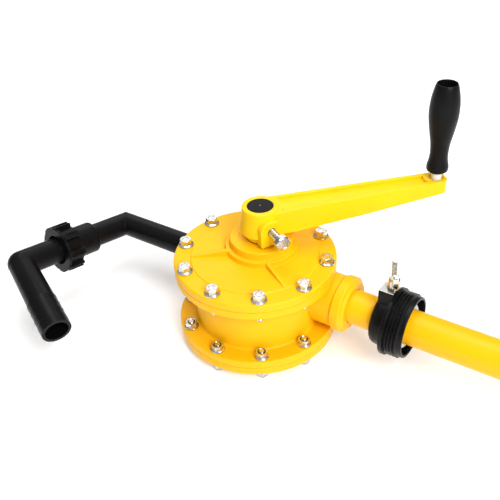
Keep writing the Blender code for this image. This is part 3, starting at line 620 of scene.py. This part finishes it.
# ---------------------------------------------------------------- fasteners
def chamfered_hexagon(af, z0, z1, dome=0.0, both=False):
    """A hexagon whose corners are cut back by a cone, as on a real bolt head or nut."""
    c = af / 2 / math.cos(math.pi / 6)
    bar = cylinder(c, z0, z1, 6)
    outline = [(0, z0 - 1.0), (c + 1.0, z0 - 1.0), (c + 1.0, z1 - 1.0), (af / 2 - 0.25, z1), (0, z1 + dome)]
    if both:
        outline = [(0, z0), (af / 2 - 0.25, z0), (c + 1.0, z0 + 1.0), (c + 1.0, z1 - 1.0), (af / 2 - 0.25, z1), (0, z1)]
    return combined(bar, lathe(outline, 48), "INTERSECT")


def threaded(z0, z1, radius=3.0, pitch=1.0, segs=24):
    """A screw thread's ridges, with a chamfered lower end."""
    outline = [(0, z1), (radius, z1)]
    z = z1 - 0.3
    while z - pitch > z0 + 0.6:
        outline += [(radius, z), (radius - 0.34, z - pitch * 0.5)]
        z -= pitch
    outline += [(radius - 0.2, z), (radius - 0.8, z0), (0, z0)]
    return lathe(outline, segs)


def flanged(af, height, recess=True, wide=7.1):
    """A flanged hexagon: washer face, cone and head, growing along +Z from zero."""
    washer = lathe([(0, 0), (wide, 0, 0.15), (wide - 0.05, 0.8, 0.25), (5.2, 1.9, 0.3), (0, 1.9)], 48)
    head = union(washer, chamfered_hexagon(af, 0.5, height))
    if recess:
        head = cut(head, lathe([(0, height - 0.35), (2.6, height - 0.35, 0.2), (3.3, height + 0.3), (0, height + 0.3)], 32))
    return bevelled(head, 0.14, 2, 40.0)


def upside(bm):
    return turned(bm, math.pi, "X")


long_upper = union(
    moved(flanged(10.0, 6.6), 0, 0, GAP), cylinder(BOLT_R - 0.1, -15.0, 1.0, 24), threaded(-22.8, -13.0),
)
short_upper = union(moved(flanged(10.0, 6.6), 0, 0, GAP), cylinder(BOLT_R, -19.6, 1.0, 24))
long_lower = union(
    moved(upside(flanged(10.0, 6.6)), 0, 0, -STACK_H - GAP), cylinder(BOLT_R - 0.1, -STACK_H - 1.0, -62.0, 24),
    upside(threaded(58.8, 70.0)),
)
short_lower = union(
    moved(upside(flanged(10.0, 6.6)), 0, 0, -STACK_H - GAP), cylinder(BOLT_R, -STACK_H - 1.0, -60.0, 24)
)
base_nut = cut(flanged(10.0, 5.6, False, 6.7), cylinder(BOLT_R + 0.15, -2.0, 8.0, 24))
base_nut = cut(base_nut, lathe([(0, 4.8), (3.1, 4.8), (3.9, 5.7), (0, 5.7)], 32))
base_nut.transform(Matrix.Identity(4))

shared = {}
SPINS = (17, 44, 3, 52, 28, 10, 37, 57, 22, 48)
for i, x, y in bolt_spots():
    spin = Matrix.Rotation(math.radians(SPINS[i]), 3, "Z")
    short = i in PORT_BOLTS
    kinds = [("cover_bolt", short_upper if short else long_upper, 0.0), ("base_bolt", short_lower if short else long_lower, 0.0)]
    if not short:
        kinds.append(("base_nut", base_nut, Z_LOW_FLANGE + GAP))
    for kind, bm, z in kinds:
        key = (kind, short)
        made = look(
            f"{kind}_{i + 1:02d}_turned", bm if key not in shared else None, ZINC, "pump_body", [f"{kind}_{i + 1:02d}"],
            (x, y, z), spin, 28.0, mesh=shared.get(key),
        )
        shared[key] = made.data


# ---------------------------------------------------------------- crank arm, built with its arm along +X and then turned
END_X = ARM_LEN
ARM_TIP = END_X + 8.6


arm = lever(
    [
        (0.0, -15.6), (30.0, -14.6, 60.0), (ARM_TIP, -9.3, 5.0), (ARM_TIP, 9.3, 5.0), (30.0, 14.6, 60.0), (0.0, 15.6),
    ],
    [
        (0.0, 20.9), (30.0, 20.9, 40.0), (100.0, 24.8, 90.0), (ARM_TIP, 31.3, 1.2), (ARM_TIP, 44.4), (100.0, 44.3),
        (0.0, 43.8),
    ],
)
arm = bevelled(arm, 0.65, 3, 50.0)
trough = lever(
    [(0.0, -11.2), (30.0, -10.6), (END_X, -5.7), (END_X, 5.7), (30.0, 10.6), (0.0, 11.2)],
    [(0.0, 41.3), (END_X, 41.6), (END_X, 60.0), (0.0, 60.0)],
)
trough = cut(trough, cylinder(20.5, 30.0, 70.0, 96), cylinder(12.0, 30.0, 70.0, 64, END_X, 0.0))
hub = lathe(
    [
        (0, 13.5), (14.2, 13.5, 0.3), (14.5, HUB_LOW), (19.3, HUB_LOW, 0.7), (17.3, 34.0, 30.0), (HUB_R, HUB_TOP, 1.1),
        (13.4, HUB_TOP, 0.3), (13.2, HUB_TOP - 0.25, 0.2), (0, HUB_TOP - 0.25),
    ],
    96,
)
crank = union(hub, arm)
arch = [(-10.8, 14.3), (10.8, 14.3), (11.2, 29.4)] + [
    (11.2 * math.cos(a), 29.4 + 10.0 * math.sin(a)) for a in [math.pi * k / 20 for k in range(1, 20)]
] + [(-11.2, 29.4)]
clamp_boss = prism(arch, 0.0, 21.5)
clamp_boss.transform(Matrix(((0, 0, 1, 0), (1, 0, 0, 0), (0, 1, 0, 0), (0, 0, 0, 1))))
bmesh.ops.recalc_face_normals(clamp_boss, faces=clamp_boss.faces[:])
clamp_boss = bevelled(clamp_boss, 0.9, 3, 50.0)
turned(clamp_boss, math.radians(CLAMP_ANGLE - ARM_ANGLE), "Z")
crank = union(crank, clamp_boss)
clamp_hole = turned(cylinder_x(4.3, 2.0, 40.0, 32, 0.0, CLAMP_Z), math.radians(CLAMP_ANGLE - ARM_ANGLE), "Z")
crank = cut(
    crank,
    trough,
    cylinder(SHAFT_R + GAP, 5.0, 38.5, 48),
    cylinder(CAP_R + GAP, HUB_TOP - CAP_H - GAP, 60.0, 72),
    clamp_hole,
    cylinder(4.3, 34.0, 60.0, 32, END_X, 0.0),
    cylinder(6.9, 42.9, 60.0, 48, END_X, 0.0),
)
crank = bevelled(crank, 0.3, 2, 48.0)
CRANK_TURN = Matrix.Rotation(math.radians(ARM_ANGLE), 3, "Z")
look("crank_arm_moulding", crank, LEMON, "crank", ["crank_arm"], (SHAFT_X, SHAFT_Y, 0), CRANK_TURN)

cap = lathe(
    [
        (0, HUB_TOP - CAP_H), (CAP_R, HUB_TOP - CAP_H, 0.4), (CAP_R, HUB_TOP + 0.1, 0.7), (3.0, HUB_TOP + 0.25),
        (1.1, HUB_TOP + 0.3, 0.2), (0.8, HUB_TOP - 0.3, 0.2), (0, HUB_TOP - 0.3),
    ],
    72,
)
look("crank_cap_moulding", cap, GRIP_BLACK, "crank", ["crank_cap"], (SHAFT_X, SHAFT_Y, 0))
pip = lathe([(0, HUB_TOP - 0.2), (0.55, HUB_TOP - 0.2), (0.55, HUB_TOP + 0.35, 0.3), (0, HUB_TOP + 0.5)], 24)
look("crank_cap_pip", pip, ZINC, "crank", [], (SHAFT_X, SHAFT_Y, 0))

clamp_head = combined(
    cylinder(13.0 / 2 / math.cos(math.pi / 6), 37.0, 42.4, 6),
    lathe([(0, 36.0), (7.0, 36.0), (7.0, 41.6, 0.5), (6.0, 42.4), (0, 42.4)], 48),
    "INTERSECT",
)
clamp_shank = union(cylinder(3.8, SHAFT_R + GAP, 37.5, 32), threaded(20.0, 37.2, 4.0, 1.25, 32))
clamp = union(clamp_shank, bevelled(clamp_head, 0.15, 2, 40.0))
clamp = cut(clamp, lathe([(0, 42.1), (4.8, 42.1, 0.2), (5.3, 42.6), (0, 42.6)], 32))
CLAMP_TURN = Matrix.Rotation(math.radians(CLAMP_ANGLE), 3, "Z") @ Matrix.Rotation(math.pi / 2, 3, "Y")
look("crank_clamp_bolt_turned", clamp, ZINC, "crank", ["crank_clamp_bolt"], (SHAFT_X, SHAFT_Y, CLAMP_Z), CLAMP_TURN, 28.0)

# ---------------------------------------------------------------- grip and its spindle
spindle = lathe(
    [
        (0, 34.3), (4.0, 34.3, 0.5), (4.0, 97.3), (6.8, 97.3, 0.3), (6.8, 100.2, 0.5), (0, 100.2),
    ],
    40,
)
look("grip_spindle_turned", spindle, ZINC, "crank", ["grip_spindle"], (GRIP_X, GRIP_Y, 0))
washer = lathe([(4.1, 43.2), (5.0, 43.2, 0.3), (5.0, 51.3, 0.3), (4.1, 51.3)], 48)
look("grip_washer", washer, WHITE_WASHER, "crank", [], (GRIP_X, GRIP_Y, 0))
side = smooth_line(
    [(10.05, 54.8), (9.9, 57.6), (8.75, 63.2), (8.25, 70.0), (8.95, 80.0), (10.3, 87.5), (11.6, 95.0), (12.9, 104.0),
     (13.25, 111.0), (12.95, 119.0), (11.9, 126.5), (10.5, 132.8), (9.6, 135.6)], 5
)
grip = lathe(
    [(4.3, 51.6), (8.4, 51.6), (9.5, 52.5), (10.0, 53.7)] + side
    + [(9.1, 136.6), (8.6, 136.7), (8.3, 136.2), (8.2, 97.0, 0.6), (4.3, 97.0)],
    72,
)
look("hand_grip_moulding", grip, GRIP_BLACK, "grip", ["hand_grip"], (GRIP_X, GRIP_Y, 0))


# ---------------------------------------------------------------- suction side, turned about +X
LINE = (0.0, PORT_Y, PORT_Z)


def along_x(points, segs=64, steps=4):
    bm = lathe([(p[1], p[0]) + tuple(p[2:]) for p in points], segs, steps)
    bmesh.ops.rotate(bm, verts=bm.verts[:], cent=(0, 0, 0), matrix=Matrix.Rotation(math.pi / 2, 3, "Y"))
    return bm


collar = along_x(
    [
        (80.3, 16.3), (80.3, 26.5, 0.9), (88.9, 26.5, 1.6), (90.4, 23.6, 1.0), (92.3, 22.0, 1.0), (92.3, 16.3, 0.3),
    ],
    96,
)
look("suction_collar_moulding", collar, YELLOW, "pump_body", ["suction_collar"], LINE)

upper_tube = along_x([(62.3, TUBE_BORE_R), (62.3, TUBE_R), (400.0, TUBE_R, 0.4), (400.0, TUBE_BORE_R, 0.3)])
look("suction_tube_upper_extruded", upper_tube, TUBE_YELLOW, "pump_body", ["suction_tube_upper"], LINE)


def socketed(start, end):
    s = start - 28.0
    return along_x(
        [
            (s, TUBE_R + GAP), (s, 19.2, 0.9), (start + 4.0, 19.2, 2.5), (start + 9.0, TUBE_R, 2.5), (end, TUBE_R, 0.4),
            (end, TUBE_BORE_R, 0.3), (start + GAP, TUBE_BORE_R), (start + GAP, TUBE_R + GAP),
        ]
    )


look("suction_tube_middle_extruded", socketed(400.0, 700.0), TUBE_YELLOW, "pump_body", ["suction_tube_middle"], LINE)
look("suction_tube_lower_extruded", socketed(700.0, 980.0), TUBE_YELLOW, "pump_body", ["suction_tube_lower"], LINE)

foot = along_x(
    [
        (955.0, TUBE_R + GAP), (955.0, 19.6, 1.0), (1005.0, 19.6, 1.6), (1005.0, 0.0), (1002.0, 0.0),
        (1002.0, TUBE_BORE_R), (980.3, TUBE_BORE_R), (980.3, TUBE_R + GAP),
    ]
)
slits = []
for i in range(12):
    for x0 in (984.0, 993.0):
        slits.append(turned(box(x0, x0 + 5.0, -1.2, 1.2, 10.0, 30.0), math.tau * (i + 0.5) / 12, "X"))
look("foot_strainer_moulding", cut(foot, merged(*slits)), BLACK, "pump_body", ["foot_strainer"], LINE)

# ---------------------------------------------------------------- drum bung
ridges = [(133.5, 29.95, 0.2), (132.9, 29.95), (132.9, 28.3)]
for crest in (135.9, 138.9, 141.9, 144.9):
    ridges += [(crest - 1.25, 28.2, 0.25), (crest - 0.25, 29.8, 0.15), (crest + 0.25, 29.8, 0.15), (crest + 1.25, 28.2, 0.25)]
adapter = along_x(
    [
        (116.6, TUBE_R + GAP, 0.3), (116.6, 21.2, 0.8), (118.4, 23.6, 1.5), (121.5, 24.8, 2.0), (129.6, 25.2, 0.6),
        (129.6, 31.2, 0.7), (133.5, 31.2, 0.5),
    ] + ridges + [
        (150.0, 28.0, 0.8), (150.0, 25.6, 0.4), (139.6, 25.6, 0.5), (139.6, 20.6, 0.3), (133.2, 20.6), (133.2, TUBE_R + GAP),
    ],
    112, 3,
)
block = bevelled(box(118.6, 132.6, -9.8, 4.5, 12.0, 36.3), 0.9, 3, 50.0)
adapter = union(adapter, cut(block, cylinder_x(20.0, 100.0, 150.0, 64)))
WING_X = 128.5
adapter = cut(adapter, cylinder(4.3, 10.0, 60.0, 32, WING_X, 0.0))
look("bung_adapter_moulding", adapter, BLACK, "bung", ["bung_adapter"], LINE)
plate = bevelled(cut(box(119.0, 132.2, -9.4, 4.1, 36.32, 37.0), cylinder(4.4, 30.0, 40.0, 40, WING_X, 0.0)), 0.12, 2, 50.0)
look("clamp_plate", plate, WING_ZINC, "bung", [], LINE)
seal = along_x(
    [(133.5, TUBE_R + GAP), (133.5, 20.3), (145.5, 20.3, 0.6), (146.5, 19.0, 0.5), (146.5, TUBE_R + GAP, 0.4)], 72
)
look("tube_seal_moulding", seal, GREY, "tube_gland", ["tube_seal"], LINE)

wing = lathe(
    [(0, TUBE_R + GAP), (4.0, TUBE_R + GAP, 0.3), (4.0, 37.1), (5.7, 37.1, 0.4), (5.1, 45.6, 0.8), (3.4, 46.8, 0.6), (0, 46.8)], 48
)
ear = [
    (1.0, 38.6), (4.6, 38.4, 1.0), (8.5, 41.0, 6.0), (12.4, 46.8, 8.0), (14.0, 52.2, 6.0), (13.6, 56.2, 3.0),
    (11.4, 58.4, 2.0), (8.8, 57.6, 2.0), (6.8, 53.2, 6.0), (4.0, 46.0, 2.0), (1.0, 44.6),
]
for way in (1, -1):
    blade = prism([(x * way, z, *f) for x, z, *f in (ear if way > 0 else ear[::-1])], -2.4, 2.4)
    turned(blade, math.pi / 2, "X")
    bmesh.ops.recalc_face_normals(blade, faces=blade.faces[:])
    wing = union(wing, bevelled(blade, 0.9, 3, 50.0))
WING_TURN = Matrix.Rotation(math.radians(-64.0), 3, "Z")
look("wing_bolt_casting", wing, WING_ZINC, "wing", ["wing_bolt"], (WING_X, PORT_Y, PORT_Z), WING_TURN)

# ---------------------------------------------------------------- outlet pipe, union and spout
UNION_TURN = Vector((0, 0, 1)).rotation_difference(DIR2).to_matrix()
BACK = Vector((1, 0, 0))


def on_leg2(bm, s):
    bm.transform(Matrix.Translation(ELBOW1 + DIR2 * s) @ UNION_TURN.to_4x4())
    return bm


outlet = mitred(ELBOW1 + BACK * 119.9, ELBOW1, ELBOW1 + DIR2 * 60.0, 12.0, 64)
outlet = union(outlet, on_leg2(lathe([(0, 0), (16.0, 0, 1.6), (16.0, 32.0, 0.4), (0, 32.0)], 64), 45.0))
outlet = cut(outlet, mitred(ELBOW1 + BACK * 130.0, ELBOW1, ELBOW1 + DIR2 * 90.0, 9.8, 48))
outlet = bevelled(outlet, 0.5, 3, 38.0)
bmesh.ops.translate(outlet, verts=outlet.verts[:], vec=-ELBOW1)
look("outlet_pipe_moulding", outlet, BLACK, "pump_body", ["outlet_pipe"], ELBOW1)

nut_body = lathe(
    [
        (16.3, -11.0), (20.4, -11.0, 0.6), (20.0, 5.6, 0.6), (22.9, 5.6, 0.4), (22.8, 8.0, 0.7), (15.0, 8.0, 0.4),
        (15.0, 3.4), (16.3, 3.4),
    ],
    96,
)
lugs = []
for i in range(8):
    lug = bevelled(box(17.6, 24.6, -3.5, 3.5, -10.2, 7.0), 0.6, 2, 50.0)
    lug = cut(lug, box(23.6, 26.0, -2.4, 2.4, -12.0, 5.4))
    lugs.append(turned(lug, math.tau * i / 8, "Z"))
nut_body = union(nut_body, merged(*lugs))
look("union_nut_moulding", nut_body, BLACK, "union", ["union_nut"], UNION_O, UNION_TURN)



def domed(first, radius, segs, rings):
    """A round bar down the second leg that ends in half a ball at the spout's elbow."""
    ball = [
        (radius * math.cos(math.pi / 2 * k / rings), LEG2 - first + radius * math.sin(math.pi / 2 * k / rings))
        for k in range(rings)
    ]
    return on_leg2(lathe([(0, 0), (radius, 0)] + ball + [(0, LEG2 - first + radius)], segs), first)


teeth = [(0, 0), (12.7, 0), (13.6, 53.9)]
for i in range(4):
    z = 54.4 + i * 8.8
    last = i == 3
    teeth += [(13.7, z, 0.1), (14.25, z + 0.3, 0.15), (14.0 if last else 13.7, LEG3 if last else z + 8.5, 0.2)]
teeth += [(0, LEG3)]
SPOUT_TURN = Vector((0, 0, 1)).rotation_difference(DIR3).to_matrix().to_4x4()
barbs = lathe(teeth, 72)
barbs.transform(Matrix.Translation(ELBOW2) @ SPOUT_TURN)
spout = union(
    domed(81.0, 12.85, 72, 18),
    on_leg2(lathe([(0, 0), (15.9, 0, 0.4), (15.9, 3.3, 0.4), (0, 3.3)], 64), 79.6),
    barbs,
)
spout = cut(
    spout,
    union(domed(75.0, 9.8, 48, 12), rod(ELBOW2, ELBOW2 + DIR3 * 62.0, 9.7, 48)),
    rod(ELBOW2 + DIR3 * 58.0, ELBOW2 + DIR3 * (LEG3 + 5.0), 11.1, 64),
)
bmesh.ops.translate(spout, verts=spout.verts[:], vec=-UNION_O)
look("spout_moulding", spout, BLACK, "spout_body", ["spout"], UNION_O)

# ---------------------------------------------------------------- sealed inner pieces keep their CAD shape
for name, mat in (
    ("rotor", ROTOR), ("rotor_shaft", STEEL), ("vane_1", VANE), ("vane_2", VANE), ("vane_3", VANE), ("vane_4", VANE),
    ("shaft_seal", RUBBER), ("top_cover_ring", RUBBER), ("bottom_cover_ring", RUBBER), ("union_seal", RUBBER),
):
    nodes[name].data.materials.clear()
    nodes[name].data.materials.append(mat)

# ---------------------------------------------------------------- floor, light and camera
def studio(name, colour, rough):
    m = Nodes(name, None)
    m.link(
        m.mixed(m.ranged(m.noise(3.0, 2.0), 0.3, 0.7, 0.0, 1.0), colour, tuple(c * 0.995 for c in colour)),
        m.bsdf.inputs["Base Color"],
    )
    m.set(Roughness=rough, Specular_IOR_Level=0.1)
    return m.mat


floor_bm = bmesh.new()
bmesh.ops.create_grid(floor_bm, x_segments=1, y_segments=1, size=6.0)
floor_mesh = bpy.data.meshes.new("floor")
floor_bm.to_mesh(floor_mesh)
floor_bm.free()
pale = studio("pale_floor", (0.93, 0.93, 0.93), 0.9)
pale.node_tree.nodes["Principled BSDF"].inputs["Emission Color"].default_value = (1.0, 1.0, 1.0, 1.0)
pale.node_tree.nodes["Principled BSDF"].inputs["Emission Strength"].default_value = 0.18
floor_mesh.materials.append(pale)
floor = linked("floor", floor_mesh)
floor.location = (0.0, 0.0, CAD_LOW[2] - 0.0004)

SKY_LOW, SKY_HIGH = 0.16, 0.62                   # a dim horizon under a bright ceiling
world = bpy.data.worlds.new("studio")
scene.world = world
world.use_nodes = True
sky = world.node_tree
background = sky.nodes["Background"]
background.inputs["Color"].default_value = (1.0, 1.0, 1.0, 1.0)
direction = sky.nodes.new("ShaderNodeSeparateXYZ")
sky.links.new(sky.nodes.new("ShaderNodeTexCoord").outputs["Generated"], direction.inputs[0])
climb = sky.nodes.new("ShaderNodeMapRange")
for i, v in enumerate((0.05, 0.95, SKY_LOW, SKY_HIGH)):
    climb.inputs[i + 1].default_value = v
sky.links.new(direction.outputs["Z"], climb.inputs[0])
sky.links.new(climb.outputs[0], background.inputs["Strength"])


def softbox(name, where, aim, size, power, colour=(1.0, 1.0, 1.0)):
    data = bpy.data.lights.new(name, "AREA")
    data.shape, data.size, data.size_y = "RECTANGLE", size[0], size[1]
    data.energy, data.color = power, colour
    obj = linked(name, data)
    obj.location = where
    obj.rotation_euler = (Vector(aim) - Vector(where)).to_track_quat("-Z", "Y").to_euler()
    return obj


AIM = (-0.12, 0.0, 0.02)
softbox("key", (1.0, -0.65, 1.0), AIM, (0.8, 0.8), 25.0)
softbox("back", (-0.95, 1.0, 0.95), AIM, (1.1, 0.9), 3.5)
softbox("top", (-0.2, 0.2, 1.6), AIM, (1.2, 1.0), 12.0)

camera_data = bpy.data.cameras.new("camera")
camera_data.lens, camera_data.sensor_width = 50.80, 36.0
camera_data.clip_start = 0.01
camera = linked("camera", camera_data)
az, el, roll, dist = math.radians(35.13), math.radians(35.9), math.radians(-3.16), 0.7369
back = Vector((math.sin(az) * math.cos(el), -math.cos(az) * math.cos(el), math.sin(el)))
right = Vector((0, 0, 1)).cross(back).normalized()
up = back.cross(right)
right2 = right * math.cos(roll) + up * math.sin(roll)
up2 = up * math.cos(roll) - right * math.sin(roll)
spot = Vector((-0.17922, 0.03727, -0.0102)) + back * dist
camera.matrix_world = Matrix(
    (
        (right2.x, up2.x, back.x, spot.x),
        (right2.y, up2.y, back.y, spot.y),
        (right2.z, up2.z, back.z, spot.z),
        (0, 0, 0, 1),
    )
)
scene.camera = camera
scene.view_settings.view_transform = "Standard"
scene.view_settings.look = "None"
